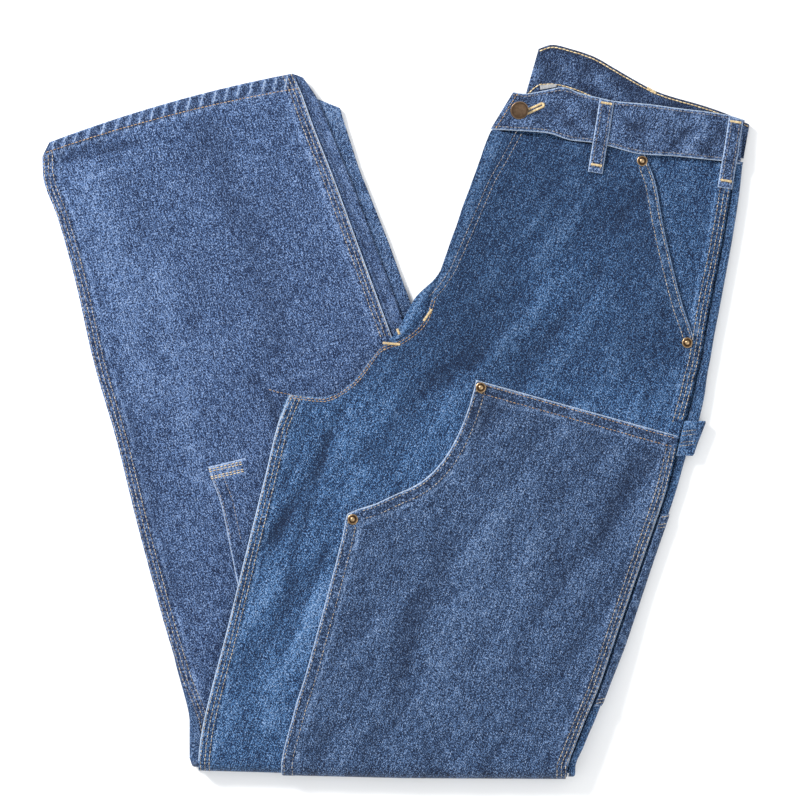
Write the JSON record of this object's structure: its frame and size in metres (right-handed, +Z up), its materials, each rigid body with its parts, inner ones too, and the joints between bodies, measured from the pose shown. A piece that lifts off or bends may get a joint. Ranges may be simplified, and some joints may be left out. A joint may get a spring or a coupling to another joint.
{
  "type": "carpenter pants",
  "caption": "Folded double-front denim carpenter pants laid flat, with knee patches, slash pocket, hammer loop, tool pocket and riveted corners",
  "frame": {"origin": "on the surface the pants lie on, at the middle of their outline seen from above", "axes": "+X to the right and +Y up the front of the pants as seen from above, with the knee fold at -Y and the waist and hems at +Y; +Z up from the surface"},
  "size_m": [0.6071, 0.6298, 0.0231],
  "materials": {
    "denim": "washed mid-blue cotton twill, warp-faced, matte",
    "patch_denim": "washed denim, slightly paler and greyer, matte",
    "band_denim": "doubled and stitched washed denim, matte",
    "tape": "plain white cotton tape",
    "thread": "twisted tan and golden cotton-wrapped sewing thread",
    "rivet_metal": "antique brass, worn bright on the rim",
    "button_metal": "dark bronze, satin"
  },
  "bodies": {
    "root": {"folded_layers": "denim", "left_front_panel": "denim", "left_back_panel": "denim", "right_front_panel": "denim", "right_back_panel": "denim", "right_front_crotch": "denim", "pocket_facing": "denim", "left_knee_patch": "patch_denim", "right_knee_patch": "patch_denim", "waistband_front": "band_denim", "waistband_back": "band_denim", "waistband_underlap": "band_denim", "belt_loop_front": "band_denim", "belt_loop_side": "band_denim", "hammer_loop": "band_denim", "tool_pocket": "patch_denim", "waist_tape": "tape", "rivet_pocket_top": "rivet_metal", "rivet_pocket_bottom": "rivet_metal", "rivet_patch_top": "rivet_metal", "rivet_patch_side": "rivet_metal", "waist_button": "button_metal"}
  },
  "joints": []
}
